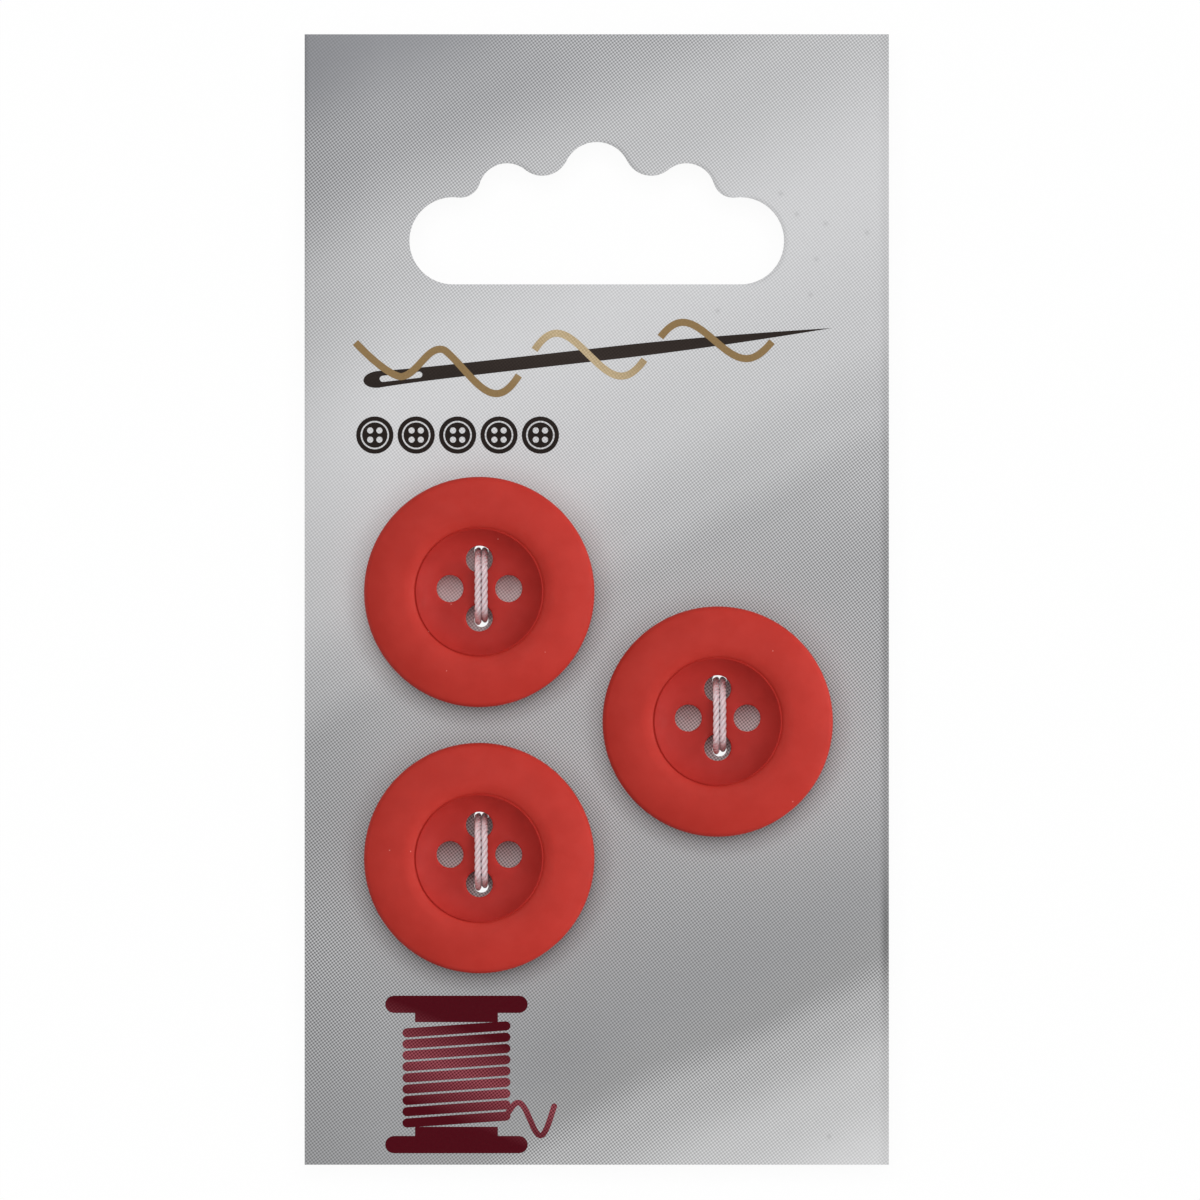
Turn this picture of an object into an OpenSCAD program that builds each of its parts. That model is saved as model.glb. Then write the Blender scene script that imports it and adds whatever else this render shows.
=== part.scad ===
// Card of buttons: a printed hang card with three dished four-hole buttons,
// each sewn on by one thread that is knotted on the back of the card.
// Millimetres. +X is to the right of the card, +Y up towards the hang slot,
// +Z out of the printed face. The card lies on its knots, at z = 0.

/* [Card] */
// Width of the card
card_w = 50.8; // [46:0.1:70]
// Height of the card
card_h = 98.3; // [92:0.1:130]
// Thickness of the board
card_t = 0.5; // [0.3:0.05:1]

/* [Hang slot] */
// Height of the slot's round ends above the middle of the card
slot_rise = 31.2; // [29:0.1:36]
// Distance between the centres of the two round ends
slot_span = 25; // [23:0.1:28]
// Radius of the round ends
slot_end_r = 3.8; // [3.4:0.05:4]
// Radius of the middle lobe
mid_lobe_r = 2.95; // [2.5:0.05:3.2]
// Height of the middle lobe above the round ends
mid_lobe_rise = 5.65; // [5.4:0.05:6.2]
// Radius of the two side lobes
side_lobe_r = 2.5; // [2.2:0.05:2.7]
// Distance of a side lobe from the middle of the slot
side_lobe_x = 7.8; // [7.4:0.05:8.2]
// Height of the side lobes above the round ends
side_lobe_rise = 4.25; // [4:0.05:4.6]
// Radius of the valleys between the middle and the side lobes
valley_r = 2.35; // [1.8:0.05:3]
// Radius of the shoulders between the side lobes and the round ends
shoulder_r = 1.75; // [1.2:0.05:2.2]

/* [Layout] */
// Distance of the left buttons from the card's centre line
left_column = 10.2; // [9.5:0.1:12]
// Distance of the right button from the card's centre line
right_column = 10.5; // [9.5:0.1:12]
// Gap between the rims of the two left buttons
row_gap = 3.1; // [1:0.1:6]
// Distance of the left pair's middle below the middle of the card
pair_drop = 10.9; // [6:0.1:16]
// Distance of the right button's centre below the middle of the card
right_drop = 10.6; // [6:0.1:16]

/* [Button] */
// Diameter of a button
button_d = 20; // [17:0.5:23]
// Thickness from the back to the crest of the rim
button_t = 3.2; // [2.8:0.1:4.5]
// Diameter of the line round the dish
dish_d = 11.2; // [10:0.1:13]
// Diameter of the flat floor of the dish
dish_floor_d = 6.2; // [5:0.1:7.5]
// Depth of the dish below the crest
dish_depth = 1.2; // [0.9:0.1:1.6]
// Width of the line round the dish
line_w = 0.25; // [0.1:0.01:0.4]
// Depth of the line round the dish
line_depth = 0.12; // [0.05:0.01:0.2]
// Distance of the rim's crest outside the line
crest_w = 1.1; // [0.8:0.05:1.5]
// Radius of the rim's inner shoulder
crest_r = 2.4; // [1.6:0.1:4]
// Height that the rim falls from the crest to the edge
rim_drop = 0.8; // [0.4:0.05:1.2]
// Radius of the rounded upper edge
edge_r = 0.65; // [0.3:0.05:0.8]
// Diameter of the flat pad on the back
pad_d = 9; // [8:0.1:12]
// Height that the back rises from the pad to the edge
back_rise = 0.9; // [0.4:0.05:1.2]
// Radius of the rounded lower edge
back_edge_r = 0.5; // [0.3:0.05:0.8]

/* [Sewing holes] */
// Diameter of each of the four holes
hole_d = 2.35; // [2:0.05:2.6]
// Diameter of the circle that the holes lie on
hole_circle = 5.1; // [4.8:0.1:5.6]
// Height of the hole circle's centre above the button's centre
drill_rise = 0.3; // [0:0.05:0.5]
// Clearance round the strands in the holes pierced through the card
pierce_gap = 0.03; // [0.03:0.01:0.2]

/* [Thread] */
// Diameter of the thread
thread_d = 0.52; // [0.4:0.02:0.56]
// Clearance between strands, and between a strand and what it passes
thread_gap = 0.05; // [0.05:0.01:0.08]
// Distance of the stitch to the right of the hole circle's centre
stitch_x = 0.17; // [0:0.01:0.2]
// Distance that the button hangs below the middle of its stitch
stitch_slip = 0.32; // [0:0.02:0.4]

/* [Hidden] */
$fn = 96;

// Arcs of the slot overlap by this much where they blend
blend_lap = 0.005;
// Cuts run past the faces by this much
through = 1;
// Steps along each round stretch of the button's outline
arc_steps = 10;
// Sides of the thread, and the distance between its rings
thread_sides = 8;
ring_step = 0.85 * thread_d;

card_colour = "#b3b3b5";
button_colour = "#b83932";
thread_colour = "#e6d6d8";

// Strands that touch lie this far apart
lay = thread_d + thread_gap;
thread_r = thread_d / 2;
// Strands of a stitch lie either side of its middle
strand_x = lay / 2;
// They are drawn inwards in the upper pierced hole, and lean apart in the lower one
upper_lean = -0.25 * lay;
right_lean = 0.175 * lay;
left_lean = -0.35 * lay;
lower_lean = (right_lean + left_lean) / 2;
pierce_d = norm([lay, right_lean - left_lean]) + thread_d + 2 * pierce_gap;
// The knot is this high above and below its middle
knot_half = 0.56 * lay;
// The bends of the knot lie this far from its middle
knot_reach = 2.2 * lay;
// The back strand, the knot's middle and the tails, from the card's back
run_z = -thread_r - thread_gap;
knot_z = run_z - lay - knot_half;
tail_z = knot_z - knot_half;
// The tails lie on z = 0, and the card's back is this high
card_z = thread_r - tail_z;
face_z = card_z + card_t;

// Centres of the buttons
row_pitch = button_d + row_gap;
upper_left = [-left_column, row_pitch / 2 - pair_drop];
lower_left = [-left_column, -row_pitch / 2 - pair_drop];
right = [right_column, -right_drop];
places = [upper_left, lower_left, right];

// Heights and radii of the button's outline
button_r = button_d / 2;
line_in = (dish_d - line_w) / 2;
line_out = (dish_d + line_w) / 2;
crest_x = dish_d / 2 + crest_w;
crest_centre = [crest_x, button_t - crest_r];
crest_drop = crest_r - sqrt(pow(crest_r, 2) - pow(crest_x - line_out, 2));
dish_rise = dish_depth - crest_drop;
dish_floor_r = dish_floor_d / 2;
dish_wall_w = line_in - dish_floor_r;
dish_wall_r = (pow(dish_wall_w, 2) + pow(dish_rise, 2)) / (2 * dish_rise);
web_t = button_t - dish_depth;
rim_fall_r = (pow(button_r - crest_x, 2) + pow(rim_drop, 2)) / (2 * rim_drop);
fall_centre = [crest_x, button_t - rim_fall_r];
edge_centre = [button_r - edge_r, fall_centre[1]
    + sqrt(pow(rim_fall_r - edge_r, 2) - pow(button_r - edge_r - crest_x, 2))];
edge_turn = atan2(edge_centre[1] - fall_centre[1], edge_centre[0] - crest_x);
back_w = button_r - pad_d / 2;
back_r = (pow(back_w, 2) + pow(back_rise, 2)) / (2 * back_rise);
back_centre = [pad_d / 2, back_r];
back_edge_centre = [button_r - back_edge_r, back_r
    - sqrt(pow(back_r - back_edge_r, 2) - pow(back_w - back_edge_r, 2))];
back_turn = atan2(back_edge_centre[1] - back_r, back_edge_centre[0] - pad_d / 2);

// Places of the stitch, from the hole circle's centre
hole_half = sqrt(pow(hole_d / 2, 2) - pow(strand_x + stitch_x, 2));
hole_inner_y = hole_circle / 2 - hole_half;
pierce_out = hole_half - thread_r - thread_gap;
pierce_top = hole_circle / 2 + pierce_out;
pierce_bottom = 2 * stitch_slip - pierce_top;
// The strands cross the dish just above its floor
strand_z = card_t + web_t + dish_lift(hole_inner_y + drill_rise) + thread_r + thread_gap;

// Height of the dish above its floor at a distance from the axis
function dish_lift(x) =
    dish_wall_r - sqrt(pow(dish_wall_r, 2) - pow(max(x - dish_floor_r, 0), 2));

// Points on an arc
function arc(centre, r, from, to) =
    [for (i = [0:arc_steps])
        let (a = from + (to - from) * i / arc_steps)
        centre + r * [cos(a), sin(a)]];

// Centre of the circle of radius f that touches two circles, left of the way from a to b
function touching(a, ra, b, rb, f) =
    let (d = norm(b - a),
         along = (pow(ra + f, 2) - pow(rb + f, 2) + d * d) / (2 * d),
         aside = sqrt(pow(ra + f, 2) - along * along),
         e = (b - a) / d)
    a + along * e + aside * [-e[1], e[0]];

// Half outline of the button, from the middle of the dish round to the back
function button_outline() = concat(
    [[0, web_t]],
    arc([dish_floor_r, web_t + dish_wall_r], dish_wall_r, -90, asin(dish_wall_w / dish_wall_r) - 90),
    [[dish_d / 2, web_t + dish_rise - line_depth]],
    arc(crest_centre, crest_r, acos((line_out - crest_x) / crest_r), 90),
    arc(fall_centre, rim_fall_r, 90 - (90 - edge_turn) / arc_steps, edge_turn),
    arc(edge_centre, edge_r, edge_turn - edge_turn / arc_steps, 0),
    arc(back_edge_centre, back_edge_r, 0, back_turn),
    arc(back_centre, back_r, back_turn + (-90 - back_turn) / arc_steps, -90),
    [[0, 0]]);

// A bight of the reef knot, as [across, along, height] in shares of the lay,
// the knot's reach and its half height, from one leg round to the other
bight_half = [[0.5, 1, -0.85], [0.56, 0.5, 0.05], [1.12, 0, 0.92],
              [1.75, -0.42, 0.35], [1.38, -0.83, -0.6], [0, -1.06, -0.92]];
function bight_point(p, side, way) =
    [side * p[0] * lay, stitch_slip + way * p[1] * knot_reach, knot_z + way * p[2] * knot_half];
function bight(side, way) = concat(
    [for (p = bight_half) bight_point(p, side, way)],
    [for (i = [len(bight_half) - 2:-1:0]) bight_point(bight_half[i], -side, way)]);

// Bend of a strand over the inner edge of a hole
function over_edge(x, way, angles) =
    [for (a = angles)
        [x, way * (hole_inner_y + lay * cos(a)), strand_z - lay + lay * sin(a)]];

// Slope of a strand from the card up to that bend
function slope(x, y, way) =
    let (share = 0.45, foot = [x, y, card_t], head = [x, way * (hole_inner_y + lay), strand_z - lay])
    foot + share * (head - foot);

// One strand over the front, from the upper pierced hole to its foot in the lower one
function front_strand(x, foot) = concat(
    [[x, pierce_top + upper_lean, card_t], slope(x, pierce_top + upper_lean, 1)],
    over_edge(x, 1, [35, 90]),
    [[x, 0, strand_z]],
    over_edge(x, -1, [90, 35]),
    [slope(x, foot, -1), [x, foot, card_t]]);

// Route of one thread, from the middle of the hole circle and the card's back:
// upper tail, knot, first strand, strand on the back, second strand, knot, lower tail
function upper_tail() = [
    [-7 * lay, pierce_top + 4.4 * lay, tail_z],
    [-5 * lay, pierce_top + 3.6 * lay, tail_z],
    [-3 * lay, pierce_top + 1.8 * lay, tail_z],
    [-1.5 * lay, pierce_top - 0.6 * lay, tail_z],
    [-0.7 * lay, stitch_slip + 1.5 * knot_reach, tail_z]];
function rise_from_knot() = [
    [0.5 * lay, stitch_slip + 1.45 * knot_reach, knot_z - 0.6 * knot_half],
    [strand_x, pierce_top - 0.8 * lay, run_z - 0.6 * lay],
    [strand_x, pierce_top - 0.05 * lay, 0]];
function back_strand() = [
    [strand_x, pierce_bottom + 0.05 * lay, 0],
    [strand_x, pierce_bottom + 0.65 * lay, 0.96 * run_z],
    [strand_x, pierce_bottom + 1.7 * lay, run_z],
    [0.9 * strand_x, stitch_slip - 1.2 * lay, run_z],
    [-0.9 * strand_x, stitch_slip + 1.2 * lay, run_z],
    [-strand_x, pierce_top - 1.7 * lay, run_z],
    [-strand_x, pierce_top - 0.65 * lay, 0.96 * run_z],
    [-strand_x, pierce_top - 0.05 * lay, 0]];
function fall_to_knot() = [
    [-strand_x, pierce_bottom, 0],
    [-strand_x, pierce_bottom + 0.15 * lay, run_z - 0.4 * lay],
    [-0.2 * lay, pierce_bottom + 0.85 * lay, run_z - 1.15 * lay],
    [0.45 * lay, stitch_slip - 1.45 * knot_reach, run_z - 1.15 * lay]];
function lower_tail() = [
    [-0.8 * lay, stitch_slip - 1.4 * knot_reach, knot_z + 0.5 * knot_half],
    [-2 * lay, pierce_bottom + 0.3 * lay, knot_z - 0.3 * knot_half],
    [-3.5 * lay, pierce_bottom - 1.4 * lay, tail_z],
    [-5.2 * lay, pierce_bottom - 2.8 * lay, tail_z],
    [-7.2 * lay, pierce_bottom - 3.2 * lay, tail_z]];
function stitch_route() = concat(
    upper_tail(), bight(-1, 1), rise_from_knot(), front_strand(strand_x, pierce_bottom + right_lean),
    back_strand(), front_strand(-strand_x, pierce_bottom + left_lean), fall_to_knot(),
    bight(1, -1), lower_tail());

// Point at share t between b and c on a smooth curve through a, b, c and d
function curve_point(a, b, c, d, t) =
    let (ab = sqrt(norm(b - a)),
         bc = sqrt(norm(c - b)),
         cd = sqrt(norm(d - c)),
         leave = (c - b) + bc * ((b - a) / ab - (c - a) / (ab + bc)),
         reach = (c - b) + bc * ((d - c) / cd - (d - b) / (bc + cd)),
         t2 = t * t,
         t3 = t2 * t)
    (2 * t3 - 3 * t2 + 1) * b + (t3 - 2 * t2 + t) * leave
        + (3 * t2 - 2 * t3) * c + (t3 - t2) * reach;

// Smooth curve through the points, with a point at least every step
function smooth_curve(p, step) =
    let (last = len(p) - 1,
         q = concat([2 * p[0] - p[1]], p, [2 * p[last] - p[last - 1]]))
    concat(
        [for (i = [1:last])
            let (n = ceil(norm(q[i + 1] - q[i]) / step))
            for (j = [0:n - 1]) curve_point(q[i - 1], q[i], q[i + 1], q[i + 2], j / n)],
        [p[last]]);

function unit(v) = v / norm(v);
function across(v, t) = unit(v - (v * t) * t);
function directions(p) =
    [for (i = [0:len(p) - 1]) unit(p[min(i + 1, len(p) - 1)] - p[max(i - 1, 0)])];
// A side direction at each point, carried along the curve without twist
function side_directions(t, first) =
    [for (i = 0, v = across(first, t[0]);
          i < len(t);
          i = i + 1, v = i < len(t) ? across(v, t[i]) : v) v];

// Round tube along a curve; its first side points along first
module tube(p, r, first) {
    t = directions(p);
    u = side_directions(t, first);
    rings = len(p);
    n = thread_sides;
    points = [for (i = [0:rings - 1], j = [0:n - 1])
        let (a = 360 * j / n)
        p[i] + r * (cos(a) * u[i] + sin(a) * cross(t[i], u[i]))];
    walls = [for (i = [0:rings - 2], j = [0:n - 1])
        let (k = (j + 1) % n)
        each [[i * n + j, (i + 1) * n + j, (i + 1) * n + k],
              [i * n + j, (i + 1) * n + k, i * n + k]]];
    caps = [[for (j = [0:n - 1]) j], [for (j = [n - 1:-1:0]) (rings - 1) * n + j]];
    polyhedron(points, concat(walls, caps));
}

// Fill between two neighbouring circles of the slot, rounded by a third
module slot_fill(a, ra, b, rb, f) {
    centre = touching(a, ra, b, rb, f);
    difference() {
        polygon([a, b, centre]);
        translate(centre) circle(r = f + blend_lap);
    }
}

// Outline of the hang slot, about the middle of its round ends
module slot_outline() {
    right_end = [slot_span / 2, 0];
    right_lobe = [side_lobe_x, side_lobe_rise];
    middle = [0, mid_lobe_rise];
    translate(middle) circle(r = mid_lobe_r);
    translate([-slot_span / 2, -slot_end_r + blend_lap]) square([slot_span, slot_end_r]);
    for (side = [0, 1]) mirror([side, 0]) {
        translate(right_end) circle(r = slot_end_r);
        translate(right_lobe) circle(r = side_lobe_r);
        polygon([[0, -blend_lap], right_end - [0, blend_lap], right_end, right_lobe, middle]);
        slot_fill(right_lobe, side_lobe_r, right_end, slot_end_r, shoulder_r);
        slot_fill(middle, mid_lobe_r, right_lobe, side_lobe_r, valley_r);
    }
}

module card() {
    color(card_colour)
    translate([0, 0, card_z])
    linear_extrude(card_t)
    difference() {
        square([card_w, card_h], center = true);
        translate([0, slot_rise]) slot_outline();
        for (p = places, y = [pierce_top, pierce_bottom + lower_lean])
            translate(p + [stitch_x, drill_rise + y]) circle(d = pierce_d);
    }
}

module button(place) {
    color(button_colour)
    translate([place[0], place[1], face_z])
    difference() {
        rotate_extrude() polygon(button_outline());
        for (a = [0:90:270])
            translate([0, drill_rise, -through])
            rotate(a)
            translate([hole_circle / 2, 0])
            cylinder(d = hole_d, h = button_t + 2 * through);
    }
}

module thread(place) {
    color(thread_colour)
    translate([place[0] + stitch_x, place[1] + drill_rise, card_z])
    tube(smooth_curve(stitch_route(), ring_step), thread_r, [0, 0, -1]);
}

module button_upper_left() { button(upper_left); }
module button_lower_left() { button(lower_left); }
module button_right() { button(right); }
module thread_upper_left() { thread(upper_left); }
module thread_lower_left() { thread(lower_left); }
module thread_right() { thread(right); }

card();
button_upper_left();
button_lower_left();
button_right();
thread_upper_left();
thread_lower_left();
thread_right();
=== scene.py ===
import math
import random
import bmesh
import bpy
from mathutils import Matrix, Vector
from mathutils.geometry import delaunay_2d_cdt


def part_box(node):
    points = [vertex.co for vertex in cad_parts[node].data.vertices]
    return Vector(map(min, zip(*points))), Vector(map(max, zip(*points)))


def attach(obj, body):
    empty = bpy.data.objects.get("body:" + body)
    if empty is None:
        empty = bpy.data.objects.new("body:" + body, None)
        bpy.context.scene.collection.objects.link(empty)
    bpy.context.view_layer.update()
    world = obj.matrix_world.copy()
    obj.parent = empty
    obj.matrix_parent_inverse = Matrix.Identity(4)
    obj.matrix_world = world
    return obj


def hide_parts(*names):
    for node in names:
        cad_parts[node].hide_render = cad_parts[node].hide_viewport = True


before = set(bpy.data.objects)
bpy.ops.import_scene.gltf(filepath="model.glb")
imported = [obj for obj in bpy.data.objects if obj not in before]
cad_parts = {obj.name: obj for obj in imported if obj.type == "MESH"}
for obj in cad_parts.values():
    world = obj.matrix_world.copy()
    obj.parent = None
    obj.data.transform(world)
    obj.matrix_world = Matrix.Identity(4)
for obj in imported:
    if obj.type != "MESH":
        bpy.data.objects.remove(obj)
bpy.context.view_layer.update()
mm = 0.001
scene = bpy.context.scene
scene.view_settings.view_transform = "Standard"
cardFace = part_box("card")[1].z
print("frame loaded:", ", ".join(sorted(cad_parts)))


# small helpers for colours, meshes and shader nodes

def colour(r, g, b):  # screen values from 0 to 255
    def linear(v):
        v /= 255
        return v / 12.92 if v <= 0.04045 else ((v + 0.055) / 1.055) ** 2.4
    return linear(r), linear(g), linear(b), 1


def grey(v):
    return colour(v, v, v)


def polar(r, degrees):
    return r * math.cos(math.radians(degrees)), r * math.sin(math.radians(degrees))


def arc(centre, r, start, end, steps):
    points = []
    for i in range(steps + 1):
        x, y = polar(r, start + (end - start) * i / steps)
        points.append((centre[0] + x, centre[1] + y))
    return points


def makePiece(name, points, faces, material, sharp=30):  # points in millimetres
    mesh = bpy.data.meshes.new(name)
    mesh.from_pydata([[c * mm for c in p] for p in points], [], faces)
    bm = bmesh.new()
    bm.from_mesh(mesh)
    bmesh.ops.recalc_face_normals(bm, faces=bm.faces)
    bm.to_mesh(mesh)
    bm.free()
    mesh.shade_smooth()
    mesh.set_sharp_from_angle(angle=math.radians(sharp))
    mesh.materials.append(material)
    piece = bpy.data.objects.new(name, mesh)
    scene.collection.objects.link(piece)
    return piece


def startMaterial(name):
    material = bpy.data.materials.new(name)
    material.use_nodes = True
    return material, material.node_tree, material.node_tree.nodes["Principled BSDF"]


def feed(tree, value, socket):
    if isinstance(value, bpy.types.NodeSocket):
        tree.links.new(value, socket)
    elif value is not None:
        socket.default_value = value


def put(tree, kind, sockets=None, out=0, **settings):
    node = tree.nodes.new(kind)
    for key, value in settings.items():
        setattr(node, key, value)
    for key, value in (sockets or {}).items():
        feed(tree, value, node.inputs[key])
    return node.outputs[out]


def calc(tree, operation, a, b=None, c=None):
    return put(tree, "ShaderNodeMath", {0: a, 1: b, 2: c}, operation=operation)


def mix(tree, factor, a, b):
    return put(tree, "ShaderNodeMix", {0: factor, 6: a, 7: b}, 2, data_type="RGBA")


def spread(tree, value, low, high, toLow=0.0, toHigh=1.0):  # one range onto another, held at its ends
    return put(tree, "ShaderNodeMapRange", {0: value, 1: low, 2: high, 3: toLow, 4: toHigh})


def ramp(tree, factor, stops, interpolation="EASE"):
    node = tree.nodes.new("ShaderNodeValToRGB")
    node.color_ramp.interpolation = interpolation
    elements = node.color_ramp.elements
    while len(elements) < len(stops):
        elements.new(0.5)
    for element, (place, tone) in zip(elements, stops):
        element.position = place
        element.color = tone
    feed(tree, factor, node.inputs[0])
    return node.outputs[0]


def speckle(tree, where, scale, detail=2.0, rough=0.5):  # noise from 0 to 1
    sockets = {"Vector": where, "Scale": scale, "Detail": detail, "Roughness": rough}
    return put(tree, "ShaderNodeTexNoise", sockets)


def mottled(tree, noise, ends):  # noise spread between two values
    return spread(tree, noise, 0.3, 0.7, *ends)


def stretch(tree, where, x, y, z):
    return put(tree, "ShaderNodeVectorMath", {0: where, 1: (x, y, z)}, operation="MULTIPLY")


def split(tree, vector):
    node = tree.nodes.new("ShaderNodeSeparateXYZ")
    feed(tree, vector, node.inputs[0])
    return node.outputs


def place(tree):  # millimetres in the card's own frame
    return stretch(tree, put(tree, "ShaderNodeNewGeometry"), 1000, 1000, 1000)


def bump(tree, shader, height, strength, distance):
    sockets = {"Height": height, "Strength": strength, "Distance": distance * mm}
    tree.links.new(put(tree, "ShaderNodeBump", sockets), shader.inputs["Normal"])


def setGlow(shader, piece):  # light that goes into a piece and comes out nearby
    shader.inputs["Subsurface Weight"].default_value = piece["glow"]
    shader.inputs["Subsurface Radius"].default_value = piece["glowReach"]
    shader.inputs["Subsurface Scale"].default_value = piece["glowDepth"] * mm


# picture: camera straight above the card, white floor, soft lamps

studio = {
    "pictureWidth": 104.35 * mm,   # what the picture is wide at the card's face
    "lens": 400,
    "sensor": 36,
    "nearest": 0.01,
    "aim": (0.283 * mm, -0.043 * mm),
    "floorSize": 0.8,
    "floorMottle": 0.05,
    "floorTones": [(0, grey(246)), (1, grey(250))],
    "floorRough": 0.9,
    "floorGlow": 0.94,             # share of the floor that stays white in its shadow
    "sky": 0.34,
    "topLamp": {"turn": 97, "rise": 70, "share": 0.36, "width": 60},    # on the buttons
    "sideLamp": {"turn": 0, "rise": 28, "share": 0.30, "width": 50},
    "cardLamp": {"turn": 92, "rise": 80, "share": 0.20, "width": 28},   # on all the rest
    "ringLamp": {"turn": 92, "rise": 53, "share": 0.46, "width": 16},   # repeated all round the card
    "ringCount": 14,
    "ringLean": 0.85,              # the ring is brighter towards the card's top
}


def setCamera():
    data = bpy.data.cameras.new("camera")
    data.lens = studio["lens"]
    data.sensor_width = studio["sensor"]
    data.clip_start = studio["nearest"]
    away = studio["pictureWidth"] * studio["lens"] / studio["sensor"]
    camera = bpy.data.objects.new("camera", data)
    camera.location = (*studio["aim"], cardFace + away)
    scene.collection.objects.link(camera)
    scene.camera = camera


def setLamp(name, further=0, part=1.0):  # share is the part of the light that falls on a flat card
    lamp = studio[name]
    rise = math.radians(lamp["rise"])
    data = bpy.data.lights.new(name, "SUN")
    data.energy = math.pi * part * lamp["share"] / math.sin(rise)
    data.angle = math.radians(lamp["width"])
    x, y = polar(math.cos(rise), lamp["turn"] + further)
    item = bpy.data.objects.new(name, data)
    item.rotation_euler = Vector((x, y, math.sin(rise))).to_track_quat("Z", "Y").to_euler()
    scene.collection.objects.link(item)
    return item


def setRing():
    lamps = []
    for i in range(studio["ringCount"]):
        further = 360 * i / studio["ringCount"]
        part = (1 + studio["ringLean"] * math.cos(math.radians(further))) / studio["ringCount"]
        lamps.append(setLamp("ringLamp", further, part))
    return lamps


def shineOnly(lamps, pieces):
    group = bpy.data.collections.new(lamps[0].name + "Group")
    for piece in pieces:
        group.objects.link(piece)
    for lamp in lamps:
        lamp.light_linking.receiver_collection = group


def setSky():
    world = bpy.data.worlds.new("sky")
    world.use_nodes = True
    background = world.node_tree.nodes["Background"]
    background.inputs["Color"].default_value = (1, 1, 1, 1)
    background.inputs["Strength"].default_value = studio["sky"]
    scene.world = world


def setFloor():
    half = studio["floorSize"] / 2 / mm
    material, tree, shader = startMaterial("whiteFloor")
    mottle = speckle(tree, place(tree), studio["floorMottle"])
    tree.links.new(ramp(tree, mottle, studio["floorTones"]), shader.inputs["Base Color"])
    shader.inputs["Roughness"].default_value = studio["floorRough"]
    path = tree.nodes.new("ShaderNodeLightPath").outputs
    seen = calc(tree, "MAXIMUM", path["Is Camera Ray"], path["Is Glossy Ray"])
    seen = calc(tree, "MAXIMUM", seen, path["Is Transmission Ray"])
    glow = put(tree, "ShaderNodeEmission", {"Color": (1, 1, 1, 1), "Strength": 1.0})
    both = put(tree, "ShaderNodeMixShader",
               {0: calc(tree, "MULTIPLY", seen, studio["floorGlow"]), 1: shader.outputs[0], 2: glow})
    tree.links.new(both, tree.nodes["Material Output"].inputs["Surface"])
    corners = [(-half, -half, 0), (half, -half, 0), (half, half, 0), (-half, half, 0)]
    floor = makePiece("floor", corners, [(0, 1, 2, 3)], material)
    return floor


setCamera()
buttonLamps = [setLamp("topLamp"), setLamp("sideLamp")]
otherLamps = [setLamp("cardLamp"), *setRing()]
setSky()
otherPieces = [setFloor()]
buttonPieces = []
print("studio set")


# card: silver print on white board

card = {                          # noises are given as scale, detail and roughness
    "sheenSlant": 0.5,            # the bands of the silver print rise by this much to the right
    "cloud": (0.05, 3),           # clouds that bend the bands, by this much in all
    "cloudBend": 4.0,
    "sheenFrom": -58.6,           # where the first band lies, and the last, from the middle of the card
    "sheenTo": 62.0,
    "sheen": [(-58.6, 143, 5), (-50, 162, 3), (-39, 187, 2), (-25, 205, 2), (-12, 196, 2), (-4.5, 183, 2),
              (0, 169, 2), (10, 162, 2), (25, 155, 2), (38.5, 148, 2), (42.5, 150, 1), (47, 172, 1),
              (54, 192, 1), (62, 208, 1)],   # place, tone and how much bluer it is
    "greenShare": 0.2,            # green rises by this share of the blue
    "patches": [(16, -14, 16, 10, 0.25), (-24, -14, 9, 10, -0.115), (25, 12, 8, 5, 0.08),
                (25.15, -7, 0.34, 25, -0.25), (25.15, -29, 0.34, 5, -0.32), (-1, 49, 6, 3.5, 0.06),
                (-23.5, -31, 4, 5, 0.07), (-3, -40, 5, 4, -0.06)],   # see softPatch
    "scuffs": [(16.0, 35.3), (17.4, 33.5), (19.9, 32.7), (23.5, 31.9), (19.1, 29.6), (18.6, 26.5),
               (10.5, 25.1), (20.2, -46.7)],   # small rubbed spots
    "scuffReach": 0.2,
    "scuffStrength": -0.16,
    "edgeReach": 0.6,             # painted shade on the cut edges that face left, as if lit from the right, most of all at the card's top
    "edgeLean": (-0.3, -0.02),    # lean where the painted shade is darkest, and where it ends
    "edgeShade": -0.32,
    "edgeFrom": 0,
    "edgeTo": 45,
    "screenPitch": 0.23,          # halftone screen of the print
    "screenTurn": 37,
    "darkTones": (143, 158),      # its dots grow between these tones, and fade between the next
    "lightTones": (160, 205),
    "screenDark": 0.35,           # strength of its dots on dark, middle and light tones
    "screenMiddle": 0.72,
    "screenLight": 0.2,
    "screenPatches": [(-20, 50, 14, 8, -0.55), (-25, -32, 6, 14, 0.25)],   # weaker and stronger dots
    "rightShade": 0.94,           # the print darkens a little at its right and left edges
    "rightFrom": 24.4,
    "rightTo": 25.0,
    "leftShade": 0.90,
    "leftFrom": -18.5,
    "leftTo": -24.8,
    "grain": (6, 2),
    "grainShare": 0.10,
    "fibre": (1.6, 5, 0.65),      # fibres of the board
    "fibreStretch": (1, 2.4, 1),
    "layers": (1.5, 3),           # layers of the board, seen in its cut edges
    "layerStretch": (2, 2, 18),
    "coreTones": [(0.3, grey(205)), (0.7, grey(238))],
    "backTones": [(0.25, colour(196, 193, 187)), (0.5, colour(214, 212, 207)),
                  (0.8, colour(224, 223, 219))],
    "flecks": (2.2, 1),           # dark flecks in the plain back
    "fleckStretch": (1, 3, 1),
    "fleckLevel": 0.735,
    "fleckShare": 0.35,
    "fleckTone": colour(150, 144, 136),
    "roughNoise": (3, 3),
    "rough": (0.5, 0.62),
    "backRough": 0.25,            # the plain back is rougher by this much
    "specular": 0.25,
    "bump": (0.25, 0.02),         # strength and height
}


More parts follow.
